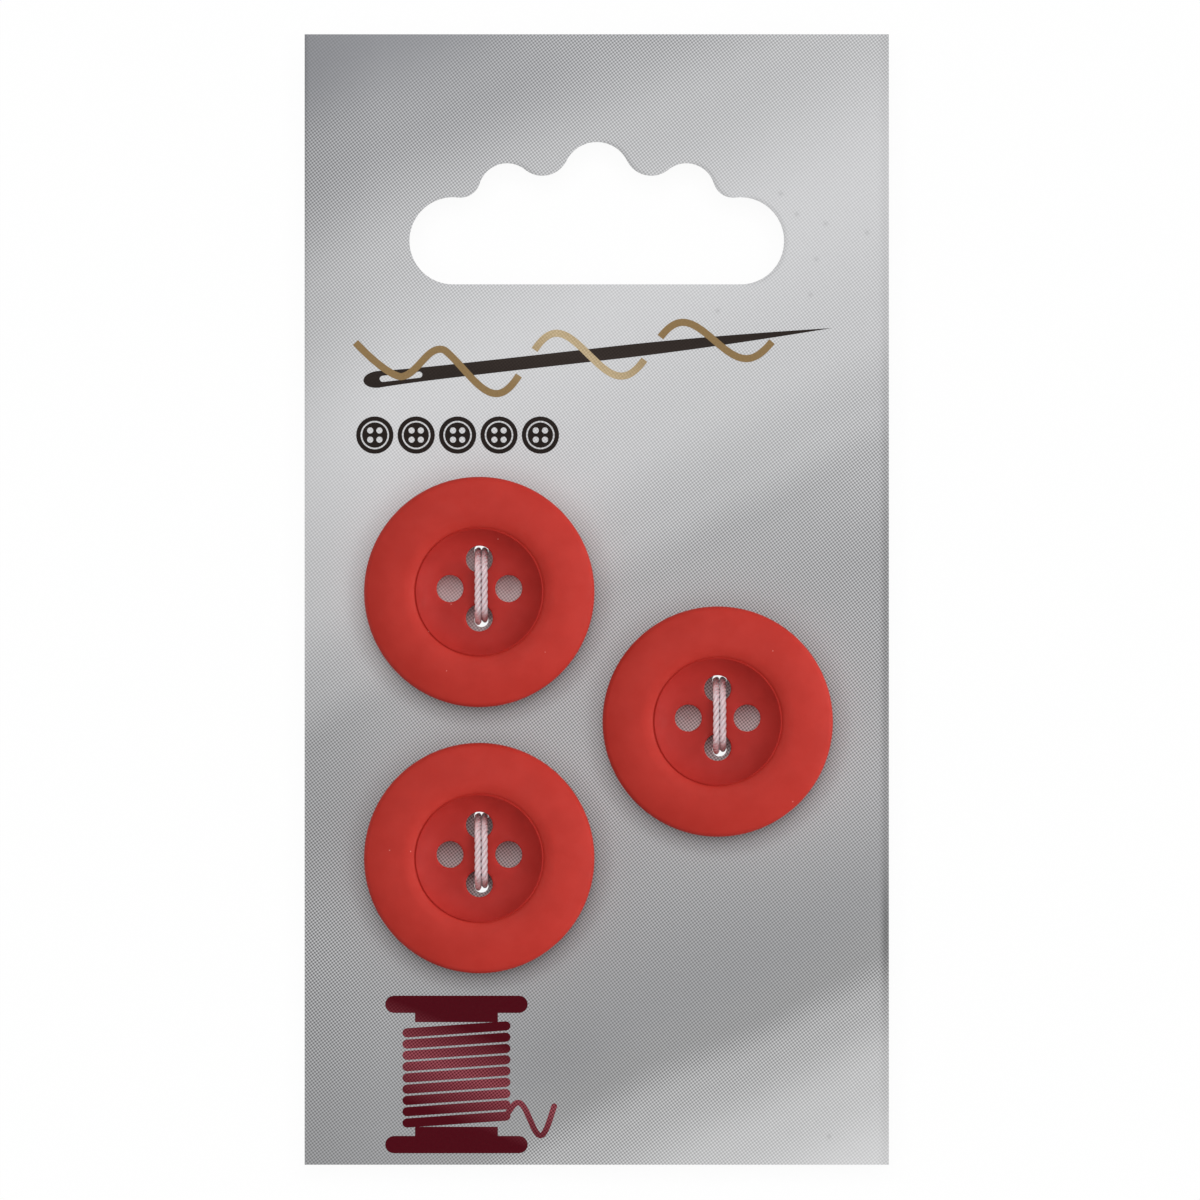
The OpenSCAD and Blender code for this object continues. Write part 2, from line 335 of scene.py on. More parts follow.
def screenDots(tree, x, y):  # dots of the halftone screen, from -1 to 1
    cos, sin = polar(2 * math.pi / card["screenPitch"], card["screenTurn"])
    u = calc(tree, "MULTIPLY_ADD", x, cos, calc(tree, "MULTIPLY", y, sin))
    v = calc(tree, "MULTIPLY_ADD", y, cos, calc(tree, "MULTIPLY", x, -sin))
    both = calc(tree, "ADD", calc(tree, "COSINE", u), calc(tree, "COSINE", v))
    return calc(tree, "MULTIPLY", both, 0.5)


def softPatch(tree, x, y, patch):  # a lighter or darker patch: its middle, its reach and its strength
    middleX, middleY, reachX, reachY, strength = patch
    u = calc(tree, "MULTIPLY_ADD", x, 1 / reachX, -middleX / reachX)
    v = calc(tree, "MULTIPLY_ADD", y, 1 / reachY, -middleY / reachY)
    away = calc(tree, "MULTIPLY_ADD", u, u, calc(tree, "MULTIPLY", v, v))
    soft = calc(tree, "EXPONENT", calc(tree, "MULTIPLY", away, -1.0))
    return calc(tree, "MULTIPLY_ADD", soft, strength, 1.0)


def paintedEdgeShade(tree, y):  # painted shade beside the cut edges that face left, as if lit from the right
    rounded = put(tree, "ShaderNodeBevel", {"Radius": card["edgeReach"] * mm}, samples=4)
    facing = spread(tree, split(tree, rounded)[0], *card["edgeLean"], 1.0, 0.0)
    high = spread(tree, y, card["edgeFrom"], card["edgeTo"])
    return calc(tree, "MULTIPLY_ADD", calc(tree, "MULTIPLY", facing, high), card["edgeShade"], 1.0)


def sheenTone(tree, where, x, y):  # slanting bands of silver, bent by clouds
    band = calc(tree, "MULTIPLY_ADD", x, card["sheenSlant"], calc(tree, "MULTIPLY", y, -1.0))
    bend = card["cloudBend"]
    cloud = calc(tree, "MULTIPLY_ADD", speckle(tree, where, *card["cloud"]), bend, -bend / 2)
    band = calc(tree, "ADD", band, cloud)
    length = card["sheenTo"] - card["sheenFrom"]
    stops = []
    for at, v, blue in card["sheen"]:
        tone = colour(v, v + card["greenShare"] * blue, v + blue)
        stops.append(((at - card["sheenFrom"]) / length, tone))
    return ramp(tree, spread(tree, band, card["sheenFrom"], card["sheenTo"]), stops)


def dotStrength(tree, x, y, tone):  # the dots are strongest on middle tones
    level = put(tree, "ShaderNodeRGBToBW", {0: tone})
    dark = [grey(v)[0] for v in card["darkTones"]]
    light = [grey(v)[0] for v in card["lightTones"]]
    rising = spread(tree, level, *dark, card["screenDark"], card["screenMiddle"])
    falling = spread(tree, level, *light, card["screenMiddle"], card["screenLight"])
    strength = calc(tree, "MINIMUM", rising, falling)
    for patch in card["screenPatches"]:
        strength = calc(tree, "MULTIPLY", strength, softPatch(tree, x, y, patch))
    return strength


def silverPrint(tree, where):
    x, y = split(tree, where)[:2]
    tone = sheenTone(tree, where, x, y)
    dots = calc(tree, "MULTIPLY_ADD", screenDots(tree, x, y), dotStrength(tree, x, y, tone), 1.0)
    share = card["grainShare"]
    grain = calc(tree, "MULTIPLY_ADD", speckle(tree, where, *card["grain"]), share, 1 - share / 2)
    gain = calc(tree, "MULTIPLY", dots, grain)
    for side in ("right", "left"):
        shade = spread(tree, x, card[side + "From"], card[side + "To"], 1.0, card[side + "Shade"])
        gain = calc(tree, "MULTIPLY", gain, shade)
    scuffs = [(*at, card["scuffReach"], card["scuffReach"], card["scuffStrength"]) for at in card["scuffs"]]
    for patch in card["patches"] + scuffs:
        gain = calc(tree, "MULTIPLY", gain, softPatch(tree, x, y, patch))
    # painted shade along the cut edges that face left
    gain = calc(tree, "MULTIPLY", gain, paintedEdgeShade(tree, y))
    return put(tree, "ShaderNodeVectorMath", {0: tone, "Scale": gain}, operation="SCALE")


def boardMaterial():
    material, tree, shader = startMaterial("printedBoard")
    where = place(tree)
    facing = split(tree, put(tree, "ShaderNodeNewGeometry", None, 1))[2]
    front = calc(tree, "GREATER_THAN", facing, 0.5)
    back = calc(tree, "LESS_THAN", facing, -0.5)
    fibre = speckle(tree, stretch(tree, where, *card["fibreStretch"]), *card["fibre"])
    layers = speckle(tree, stretch(tree, where, *card["layerStretch"]), *card["layers"])
    flecks = speckle(tree, stretch(tree, where, *card["fleckStretch"]), *card["flecks"])
    flecks = calc(tree, "GREATER_THAN", flecks, card["fleckLevel"])
    flecks = calc(tree, "MULTIPLY", flecks, card["fleckShare"])
    plain = mix(tree, flecks, ramp(tree, fibre, card["backTones"]), card["fleckTone"])
    bare = mix(tree, back, ramp(tree, layers, card["coreTones"]), plain)
    skin = mix(tree, front, bare, silverPrint(tree, where))
    tree.links.new(skin, shader.inputs["Base Color"])
    rough = mottled(tree, speckle(tree, where, *card["roughNoise"]), card["rough"])
    rough = calc(tree, "ADD", rough, calc(tree, "MULTIPLY", back, card["backRough"]))
    tree.links.new(rough, shader.inputs["Roughness"])
    shader.inputs["Specular IOR Level"].default_value = card["specular"]
    bump(tree, shader, fibre, *card["bump"])
    return material


boardSkin = boardMaterial()
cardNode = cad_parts["card"]
cardNode.data.materials.clear()
cardNode.data.materials.append(boardSkin)
otherPieces.append(cardNode)
print("card printed")


# print on the card: a needle with its thread, a row of buttons and a spool, as films of ink

ink = {
    "thick": 0.012,                # film above the card's face, and how deep its foot lies in the board
    "foot": 0.004,
    "goldLift": 0.006,             # the gold film lies over the black one
    "grain": (7, 3),
    "grainShare": 0.5,
    "roughNoise": (4, 2),
    "rough": (0.42, 0.56),
    "specular": 0.05,
    "bumpNoise": (9, 2),
    "bump": (0.2, 0.01),           # strength and height
    "needleEye": (-20.3, 19.0),    # the two ends of the needle
    "needlePoint": (20.4, 23.6),
    "needleHalf": 0.56,
    "needleSteps": 60,
    "headLength": 1.3,             # the needle is wider at its head
    "headSwell": 0.3,
    "swellLength": 3,
    "taperFrom": 0.55,             # share of the needle's length where it begins to thin
    "taperPower": 1.7,
    "eyeEnds": (1.7, 4.9),         # from the needle's end
    "eyeHalf": 0.27,
    "threadedAt": 3.3,             # where the gold thread goes through the eye
    "tailLong": 3.6,               # its loose end, along and across the needle
    "tailOut": 3.4,
    "tailSteps": 12,
    "stitchWave": 2.7,             # height and length of the gold thread's waves
    "stitchLength": 11.0,
    "stitchGrow": 4,               # length over which the waves grow
    "stitchFade": 0.4,             # share by which they are lower at the needle's point
    "stitchStep": 0.2,
    "stitchCount": 165,
    "stitchGap": 0.3,              # left free where the thread goes under the needle
    "stitchWidth": 0.62,
    "rowStart": (-19.3, 14.3),     # first small button of the row
    "rowStep": 3.6,
    "rowCount": 5,
    "rowRing": (1.62, 1.24),       # outside and inside of a small button's ring, and its face
    "rowFace": 1.1,
    "rowHole": 0.27,
    "rowHoleOut": 0.4,
    "spool": (-12.2, -41.3),       # middle of the spool
    "spoolHalf": 6.2,
    "rimAt": 6.1,                  # rims and necks, from the spool's middle
    "rimWidth": 1.5,
    "neckAt": 5.0,
    "neckHalf": 3.6,
    "neckWidth": 0.9,
    "turns": 9,                    # turns of thread on the spool
    "turnStep": 0.98,
    "turnHalf": 4.3,
    "turnRise": 0.3,
    "turnWidth": 0.8,
    "endWave": 0.9,                # loose end of the spool's thread
    "endPace": 1.6,
    "endGrow": 0.06,
    "endStep": 0.2,
    "endCount": 22,
    "endWidth": 0.5,
}

inkTones = {
    "blackInk": {"dark": colour(35, 28, 25), "light": colour(58, 50, 46),
                 "bandAt": 21, "bandHalf": 7, "slant": 0.1, "dots": 0.35},
    "goldInk": {"dark": colour(140, 115, 78), "light": colour(206, 187, 152),
                "bandAt": 20, "bandHalf": 8, "slant": 0.9, "dots": 0.3},
    "maroonInk": {"dark": colour(74, 1, 15), "light": colour(168, 88, 98),
                  "bandAt": -46.0, "bandHalf": 4.2, "slant": 0.4, "dots": 0.55},
}


def strokeLoop(points, width, rounded=True):  # outline of a line drawn with a broad nib
    half = width / 2
    left, right = [], []
    for i, p in enumerate(points):
        a, b = points[max(i - 1, 0)], points[min(i + 1, len(points) - 1)]
        along = Vector((b[0] - a[0], b[1] - a[1])).normalized()
        left.append((p[0] - along.y * half, p[1] + along.x * half))
        right.append((p[0] + along.y * half, p[1] - along.x * half))
    ends = []
    for p, q in ((points[-1], points[-2]), (points[0], points[1])):
        turn = math.degrees(math.atan2(p[1] - q[1], p[0] - q[0]))
        ends.append(arc(p, half, turn + 90, turn - 90, 8)[1:-1] if rounded else [])
    return left + ends[0] + right[::-1] + ends[1]


def circleLoop(x, y, r, steps=40):
    return arc((x, y), r, 0, 360, steps)[:-1]


def insideLoop(p, loop):
    hits = False
    for i, b in enumerate(loop):
        a = loop[i - 1]
        if (a[1] > p[1]) != (b[1] > p[1]):
            crossing = a[0] + (p[1] - a[1]) * (b[0] - a[0]) / (b[1] - a[1])
            hits = hits != (p[0] < crossing)
    return hits


def fillLoops(loops, keep, extra=()):  # triangles between the loops and extra points that pass the test
    points, edges = [], []
    for loop in loops:
        first = len(points)
        points += [Vector(p) for p in loop]
        edges += [(first + i, first + (i + 1) % len(loop)) for i in range(len(loop))]
    points += [Vector(p) for p in extra]
    filled = delaunay_2d_cdt(points, edges, [], 0, 1e-6)
    points, faces = filled[0], filled[2]
    kept = []
    for face in faces:
        middle = sum((points[i] for i in face), Vector((0, 0))) / len(face)
        if keep(middle):
            kept.append(tuple(face))
    return points, kept


def inkFilm(name, shapes, material, lift=0.0):  # a shape is an outline and its holes
    loops = [loop for shape in shapes for loop in shape]

    def keep(p):
        hits = [[insideLoop(p, loop) for loop in shape] for shape in shapes]
        return any(first and not any(rest) for first, *rest in hits)

    points, faces = fillLoops(loops, keep)
    used = sorted({i for face in faces for i in face})
    order = {old: new for new, old in enumerate(used)}
    faces = [tuple(order[i] for i in face) for face in faces]
    count = len(used)
    levels = (cardFace / mm + ink["thick"] + lift, cardFace / mm - ink["foot"])
    solid = [(points[i].x, points[i].y, level) for level in levels for i in used]
    sides = {(f[i], f[(i + 1) % 3]) for f in faces for i in range(3)}
    walls = [(b, a, a + count, b + count) for a, b in sides if (b, a) not in sides]
    under = [tuple(i + count for i in reversed(face)) for face in faces]
    piece = makePiece(name, solid, faces + sorted(walls) + under, material)
    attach(piece, "root")
    otherPieces.append(piece)


def inkMaterial(name):  # a lighter halftone band crosses the ink
    tones = inkTones[name]
    material, tree, shader = startMaterial(name)
    where = place(tree)
    x, y = split(tree, where)[:2]
    band = calc(tree, "MULTIPLY_ADD", x, tones["slant"], y)
    away = calc(tree, "ABSOLUTE", calc(tree, "SUBTRACT", band, tones["bandAt"]))
    inBand = spread(tree, away, 0.0, tones["bandHalf"], 1.0, 0.0)
    screen = calc(tree, "MULTIPLY_ADD", screenDots(tree, x, y), tones["dots"], 1.0 - tones["dots"])
    lit = calc(tree, "MULTIPLY", inBand, calc(tree, "MAXIMUM", screen, 0.0))
    tone = mix(tree, lit, tones["dark"], tones["light"])
    share = ink["grainShare"]
    grain = calc(tree, "MULTIPLY_ADD", speckle(tree, where, *ink["grain"]), share, 1 - share / 2)
    toned = put(tree, "ShaderNodeVectorMath", {0: tone, "Scale": grain}, operation="SCALE")
    tree.links.new(toned, shader.inputs["Base Color"])
    rough = mottled(tree, speckle(tree, where, *ink["roughNoise"]), ink["rough"])
    tree.links.new(rough, shader.inputs["Roughness"])
    shader.inputs["Specular IOR Level"].default_value = ink["specular"]
    bump(tree, shader, speckle(tree, where, *ink["bumpNoise"]), *ink["bump"])
    return material


def needleMap():  # from along and across the needle to the card
    start, end = Vector(ink["needleEye"]), Vector(ink["needlePoint"])
    along = (end - start).normalized()

    def onCard(t, h):
        return start.x + along.x * t - along.y * h, start.y + along.y * t + along.x * h

    return (end - start).length, onCard


def needleHalf(t, length):  # half the needle's width: round at the eye, thin at the point
    head, taper = ink["headLength"], ink["taperFrom"] * length
    half, swell = ink["needleHalf"], ink["headSwell"]
    if t < head:
        return (1 + swell) * half * math.sqrt(max(0, 1 - (1 - t / head) ** 2))
    if t < taper:
        return half * (1 + swell * math.exp(-(t - head) / ink["swellLength"]))
    return half * (1 - ((t - taper) / (length - taper)) ** ink["taperPower"])


def needleShapes():
    length, onCard = needleMap()
    count = ink["needleSteps"]
    steps = [length * (i / count) ** 1.5 for i in range(count + 1)]   # closest at the head
    upper = [onCard(t, needleHalf(t, length)) for t in steps]
    lower = [onCard(t, -needleHalf(t, length)) for t in steps[-2:0:-1]]
    eye = strokeLoop([onCard(t, 0) for t in ink["eyeEnds"]], 2 * ink["eyeHalf"])
    return [[upper + lower, eye]]


def stitchShapes():  # gold thread: from its loose end through the eye, then over and under the needle
    length, onCard = needleMap()
    eye, count = ink["threadedAt"], ink["tailSteps"]
    tail = []
    for k in range(count, 0, -1):
        tail.append(onCard(eye - ink["tailLong"] * k / count, ink["tailOut"] * (k / count) ** 1.4))
    runs = [tail]
    for i in range(ink["stitchCount"]):
        t = eye + ink["stitchStep"] * i
        waves = (t - eye) / ink["stitchLength"]
        grown = min(1, (t - eye) / ink["stitchGrow"])
        height = ink["stitchWave"] * grown * (1 - ink["stitchFade"] * t / length)
        h = height * math.sin(2 * math.pi * waves)
        under = math.floor(waves - 0.25) != math.floor(waves + 0.25)
        if under and abs(h) < needleHalf(t, length) + ink["stitchGap"] and t > eye + 2:
            if runs[-1]:
                runs.append([])
        else:
            runs[-1].append(onCard(t, h))
    return [[strokeLoop(run, ink["stitchWidth"], False)] for run in runs if len(run) > 1]


def rowShapes():
    shapes, off = [], ink["rowHoleOut"]
    for i in range(ink["rowCount"]):
        x, y = ink["rowStart"][0] + i * ink["rowStep"], ink["rowStart"][1]
        spots = [(x + dx, y + dy) for dx in (-off, off) for dy in (-off, off)]
        holes = [circleLoop(*spot, ink["rowHole"], 16) for spot in spots]
        shapes.append([circleLoop(x, y, r) for r in ink["rowRing"]])
        shapes.append([circleLoop(x, y, ink["rowFace"]), *holes])
    return shapes


def spoolShapes():
    x, y = ink["spool"]
    half, soft, neckHalf = ink["spoolHalf"], ink["rimWidth"] / 2, ink["neckHalf"]
    turnHalf, rise, shapes = ink["turnHalf"], ink["turnRise"], []
    for side in (1, -1):
        rim, neck = y + side * ink["rimAt"], y + side * ink["neckAt"]
        rimLine = [(x - half + soft, rim), (x + half - soft, rim)]
        neckLine = [(x - neckHalf, neck), (x + neckHalf, neck)]
        shapes.append([strokeLoop(rimLine, ink["rimWidth"])])
        shapes.append([strokeLoop(neckLine, ink["neckWidth"], False)])
    for i in range(ink["turns"]):
        low = y + (i - (ink["turns"] - 1) / 2) * ink["turnStep"]
        turnLine = [(x - turnHalf, low - rise), (x + turnHalf, low + rise)]
        shapes.append([strokeLoop(turnLine, ink["turnWidth"])])
    foot = y - (ink["turns"] - 1) / 2 * ink["turnStep"] + rise
    end = []
    for i in range(ink["endCount"]):
        out = ink["endStep"] * i
        wave = ink["endWave"] * math.sin(out * ink["endPace"]) * (1 + ink["endGrow"] * i)
        end.append((x + turnHalf + out, foot + wave))
    shapes.append([strokeLoop(end, ink["endWidth"])])
    return shapes


inkBlack, inkGold, inkMaroon = [inkMaterial(name) for name in inkTones]
inkFilm("print_needle", needleShapes(), inkBlack)
inkFilm("print_stitch", stitchShapes(), inkGold, ink["goldLift"])
inkFilm("print_button_row", rowShapes(), inkBlack)
inkFilm("print_spool", spoolShapes(), inkMaroon)
print("ink laid")


# buttons: turned and drilled polyester with a ground rim and a darker dish

button = {
    "thick": 3.2,
    "dish": 11.2,
    "dishFloor": 6.2,              # flat part of the dish
    "dishDepth": 1.2,
    "lineWidth": 0.25,
    "lineDepth": 0.12,
    "crestOut": 1.1,
    "crestRadius": 2.4,
    "rimDrop": 0.8,
    "edgeRadius": 0.65,
    "pad": 9,
    "backRise": 0.9,
    "backEdge": 0.5,
    "hole": 2.35,
    "holeCircle": 5.1,
    "holeRise": 0.3,
    "holeRound": 0.09,             # softened rim of each hole
    "faceReach": 4.4,              # the drilled faces end here and the turned outline begins
    "faceStep": 0.3,
    "faceMargin": 0.4,             # share of a step left free along the edges of the drilled faces
    "around": 192,
    "holeSteps": 48,
    "arcSteps": {"dish": 8, "crest": 14, "fall": 12, "edge": 12, "lower": 10, "back": 14},
    "sharp": 28,
    "rimNoise": (0.35, 4, 0.6),
    "rimTones": [(0.3, colour(179, 47, 38)), (0.7, colour(186, 52, 43))],
    "dishNoise": (0.5, 3),
    "dishTones": [(0.3, colour(164, 39, 33)), (0.7, colour(172, 43, 37))],
    "dishBrink": (-0.1, 0.05),     # the dish's tone ends between these, from its brink
    "boreSlant": (0.1, 0.6),
    "boreTone": colour(228, 66, 54),
    "brush": (9.0, 3.0),           # how close the grinding marks are across the rim and round it
    "brushNoise": (2.0, 3, 0.6),
    "marks": (0.62, 0.8),
    "markShare": 0.18,
    "markTone": colour(212, 88, 76),
    "dustScale": 0.42,
    "dustSize": 0.025,
    "dustShare": 0.5,
    "dustTone": colour(224, 168, 160),
    "roughNoise": (1.2, 3),
    "rough": (0.52, 0.64),
    "specular": 0.15,
    "glow": 0.25,                  # see setGlow
    "glowReach": (1.0, 0.22, 0.16),
    "glowDepth": 1.2,
    "fineNoise": (14, 2),          # fine grain of the surface, beside the grinding marks
    "fineShare": 0.4,
    "bump": (0.2, 0.012),          # strength and height
}


def dishShape():  # radius of the dish's wall, and the web under its floor
    lineOut = (button["dish"] + button["lineWidth"]) / 2
    lineIn = (button["dish"] - button["lineWidth"]) / 2
    crest = button["dish"] / 2 + button["crestOut"]
    drop = button["crestRadius"] - math.sqrt(button["crestRadius"] ** 2 - (crest - lineOut) ** 2)
    rise = button["dishDepth"] - drop
    width = lineIn - button["dishFloor"] / 2
    return (width ** 2 + rise ** 2) / (2 * rise), button["thick"] - button["dishDepth"]


def dishHeight(r):  # height of the dish above the button's back
    wall, web = dishShape()
    out = max(0, r - button["dishFloor"] / 2)
    return web + wall - math.sqrt(wall ** 2 - out ** 2)


def buttonOutline(radius):  # from the drilled face over the rim to the back
    wall, web = dishShape()
    lineIn = (button["dish"] - button["lineWidth"]) / 2
    lineOut = lineIn + button["lineWidth"]
    crest = button["dish"] / 2 + button["crestOut"]
    crestAt = (crest, button["thick"] - button["crestRadius"])
    rimFall = ((radius - crest) ** 2 + button["rimDrop"] ** 2) / (2 * button["rimDrop"])
    fallAt = (crest, button["thick"] - rimFall)
    edgeX, soft = radius - button["edgeRadius"], button["edgeRadius"]
    edgeAt = (edgeX, fallAt[1] + math.sqrt((rimFall - soft) ** 2 - (edgeX - crest) ** 2))
    edgeTurn = math.degrees(math.atan2(edgeAt[1] - fallAt[1], edgeX - crest))
    padX = button["pad"] / 2
    width = radius - padX
    backRadius = (width ** 2 + button["backRise"] ** 2) / (2 * button["backRise"])
    lowX, low = radius - button["backEdge"], button["backEdge"]
    lowAt = (lowX, backRadius - math.sqrt((backRadius - low) ** 2 - (lowX - padX) ** 2))
    lowTurn = math.degrees(math.atan2(lowAt[1] - backRadius, lowX - padX))
    floorX = button["dishFloor"] / 2
    reach = math.degrees(math.asin((button["faceReach"] - floorX) / wall)) - 90
    brink = math.degrees(math.asin((lineIn - floorX) / wall)) - 90
    start = math.degrees(math.acos((lineOut - crest) / button["crestRadius"]))
    steps = button["arcSteps"]
    dish = arc((floorX, web + wall), wall, reach, brink, steps["dish"])
    line = [(button["dish"] / 2, dish[-1][1] - button["lineDepth"])]
    shoulder = arc(crestAt, button["crestRadius"], start, 90, steps["crest"])
    fall = arc(fallAt, rimFall, 90, edgeTurn, steps["fall"])[1:]
    edge = arc(edgeAt, soft, edgeTurn, 0, steps["edge"])[1:]
    lower = arc(lowAt, low, 0, lowTurn, steps["lower"])
    back = arc((padX, backRadius), backRadius, lowTurn, -90, steps["back"])[1:]
    return dish + line + shoulder + fall + edge + lower + back + [(button["faceReach"], 0)]


def drilledFace():  # the flat middle of a button, as points and triangles round its four holes
    rim = button["hole"] / 2 + button["holeRound"]
    centres = []
    for turn in range(0, 360, 90):
        x, y = polar(button["holeCircle"] / 2, turn)
        centres.append((x, y + button["holeRise"]))
    outer = circleLoop(0, 0, button["faceReach"], button["around"])
    holes = [circleLoop(x, y, rim, button["holeSteps"]) for x, y in centres]
    step, extra = button["faceStep"], []
    rows, margin = int(button["faceReach"] / step) + 1, button["faceMargin"] * step
    for i in range(-rows, rows + 1):
        for j in range(-rows, rows + 1):
            p = ((i + 0.5 * (j % 2)) * step, j * step * 0.866)   # corners of even triangles
            clear = min(math.dist(p, c) - rim for c in centres)
            if clear > margin and math.hypot(*p) < button["faceReach"] - margin:
                extra.append(p)

    def keep(p):
        return all(math.dist(p, c) > rim * 0.99 for c in centres)

    points, faces = fillLoops([outer, *holes], keep, extra)
    return centres, points, faces


def buttonMesh(radius):
    centres, face, triangles = drilledFace()
    around, steps, count = button["around"], button["holeSteps"], len(face)
    points = [(p.x, p.y, dishHeight(p.length)) for p in face] + [(p.x, p.y, 0) for p in face]
    faces = list(triangles) + [tuple(i + count for i in reversed(t)) for t in triangles]

    def join(a, b):
        n = len(a)
        faces.extend((a[i], b[i], b[(i + 1) % n], a[(i + 1) % n]) for i in range(n))

    def addRing(last, x, y, r, heights):  # joined to the ring before it
        n = len(last)
        for i, z in enumerate(heights):
            dx, dy = polar(r, 360 * i / n)
            points.append((x + dx, y + dy, z))
        ring = list(range(len(points) - n, len(points)))
        join(last, ring)
        return ring

    last = list(range(around))
    for r, z in buttonOutline(radius)[1:-1]:
        last = addRing(last, 0, 0, r, [z] * around)
    join(last, [i + count for i in range(around)])
    soft, bore = button["holeRound"], button["hole"] / 2
    rounding = [arc((soft, soft), soft, 270 - a, 270 - a, 1)[0] for a in (30, 60, 90)]
    for k, (x, y) in enumerate(centres):
        first = list(range(around + k * steps, around + (k + 1) * steps))
        brink = [points[i][2] for i in first]
        last = first
        for out, down in rounding:
            last = addRing(last, x, y, bore + out, [z - down for z in brink])
        for out, up in reversed(rounding):
            last = addRing(last, x, y, bore + out, [up] * steps)
        join(last, [i + count for i in first])
    return points, faces


def polyesterMaterial():
    material, tree, shader = startMaterial("redPolyester")
    where = place(tree)
    own = stretch(tree, put(tree, "ShaderNodeTexCoord", None, 3), 1000, 1000, 1000)
    x, y = split(tree, own)[:2]
    radius = calc(tree, "SQRT", calc(tree, "MULTIPLY_ADD", x, x, calc(tree, "MULTIPLY", y, y)))
    rim = ramp(tree, speckle(tree, where, *button["rimNoise"]), button["rimTones"])
    dish = ramp(tree, speckle(tree, where, *button["dishNoise"]), button["dishTones"])
    brink = [button["dish"] / 2 + off for off in button["dishBrink"]]
    inDish = spread(tree, radius, *brink, 1.0, 0.0)
    skin = mix(tree, inDish, rim, dish)
    # brighter walls in the drilled holes
    slant = calc(tree, "ABSOLUTE", split(tree, put(tree, "ShaderNodeNewGeometry", None, 1))[2])
    bore = calc(tree, "MULTIPLY", spread(tree, slant, *button["boreSlant"], 1.0, 0.0), inDish)
    skin = mix(tree, bore, skin, button["boreTone"])
    # fine marks of the grinding round the rim
    brushOut, brushTurn = button["brush"]
    out = calc(tree, "MULTIPLY", radius, brushOut)
    turn = calc(tree, "MULTIPLY", calc(tree, "ARCTAN2", y, x), brushTurn)
    rings = put(tree, "ShaderNodeCombineXYZ", {0: out, 1: turn})
    brushed = speckle(tree, rings, *button["brushNoise"])
    marks = calc(tree, "MULTIPLY", spread(tree, brushed, *button["marks"]), button["markShare"])
    skin = mix(tree, marks, skin, button["markTone"])
    # pale dust
    sockets = {"Vector": where, "Scale": button["dustScale"], "Randomness": 1.0}
    dust = calc(tree, "LESS_THAN", put(tree, "ShaderNodeTexVoronoi", sockets), button["dustSize"])
    dust = calc(tree, "MULTIPLY", dust, button["dustShare"])
    skin = mix(tree, dust, skin, button["dustTone"])
    tree.links.new(skin, shader.inputs["Base Color"])
    rough = mottled(tree, speckle(tree, where, *button["roughNoise"]), button["rough"])
    tree.links.new(rough, shader.inputs["Roughness"])
    shader.inputs["Specular IOR Level"].default_value = button["specular"]
    setGlow(shader, button)
    fine = button["fineShare"]
    grain = calc(tree, "MULTIPLY", brushed, 1 - fine)
    grain = calc(tree, "MULTIPLY_ADD", speckle(tree, where, *button["fineNoise"]), fine, grain)
    bump(tree, shader, grain, *button["bump"])
    return material


buttonSkin = polyesterMaterial()
sewn = ("upper_left", "lower_left", "right")
centre = {}
for name in sewn:
    low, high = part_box("button_" + name)
    centre[name] = ((low + high) / 2).xy / mm
    shape = buttonMesh((high.x - low.x) / 2 / mm)
    piece = makePiece("red_button_" + name, *shape, buttonSkin, button["sharp"])
    piece.location = (*(centre[name] * mm), low.z)
    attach(piece, "root")
    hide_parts("button_" + name)
    buttonPieces.append(piece)
print("buttons turned")


# threads: three plies laid up together, sewn twice over and tied behind the card

thread = {
    "across": 0.52,
    "gap": 0.05,
    "stitchX": 0.17,               # the stitch lies to the right of the holes' middle
    "slip": 0.32,                  # the button hangs below the middle of its stitch
    "cardThick": 0.5,
    "knotHalf": 0.56,              # size of the knot, in widths of the thread
    "knotReach": 2.2,
    "upperLean": -0.25,            # the strands are drawn inwards in the upper pierced hole
    "rightLean": 0.175,            # and lean apart in the lower one
    "leftLean": -0.35,
    "plyOut": 0.12,                # middle and radius of a ply in the laid thread
    "plyRadius": 0.175,
    "layUp": 1.8,                  # length of one turn of the plies
    "step": 0.085,
    "sides": 30,
    "sharp": 50,
    "fuzz": 60,                    # loose fibres along the thread, and at each cut end
    "ends": 9,
    "fuzzLength": (0.25, 0.6),
    "endLength": (0.3, 0.8),
    "fuzzRadius": 0.008,
    "fuzzShape": [(0, 1), (0.5, 0.8), (0.85, 0.55)],   # shares of its length, and its thickness there
    "fuzzRoot": 0.16,              # from the thread's middle
    "fuzzCurl": 0.55,
    "fuzzDown": -0.1,              # fibres that point further down are left out
    "fibreNoise": (2.0, 4, 0.6),
    "fibreStretch": (1.2, 14, 14),
    # the thread is white: the pink tint of these tones, and of the lump and groove tones, is painted red
    # light bounced from the buttons
    "tones": [(0.25, colour(200, 178, 181)), (0.5, colour(219, 199, 203)),
              (0.75, colour(236, 222, 224))],
    "lumpNoise": (1.4, 3),
    "lumpEnds": (0.4, 0.7),
    "lumpShare": 0.25,
    "lumpTone": colour(212, 186, 190),
    "grooveReach": 0.6,            # painted shade in the grooves between the plies, up to this share of their depth
    "grooveShadeShare": 0.5,
    "grooveShadeTone": colour(182, 150, 154),
    "rough": (0.55, 0.75),
    "specular": 0.4,
    "sheen": 0.25,
    "sheenRough": 0.4,
    "glow": 0.8,                   # see setGlow
    "glowReach": (1.0, 0.75, 0.75),
    "glowDepth": 0.6,
    "bump": (0.6, 0.03),           # strength and height
}


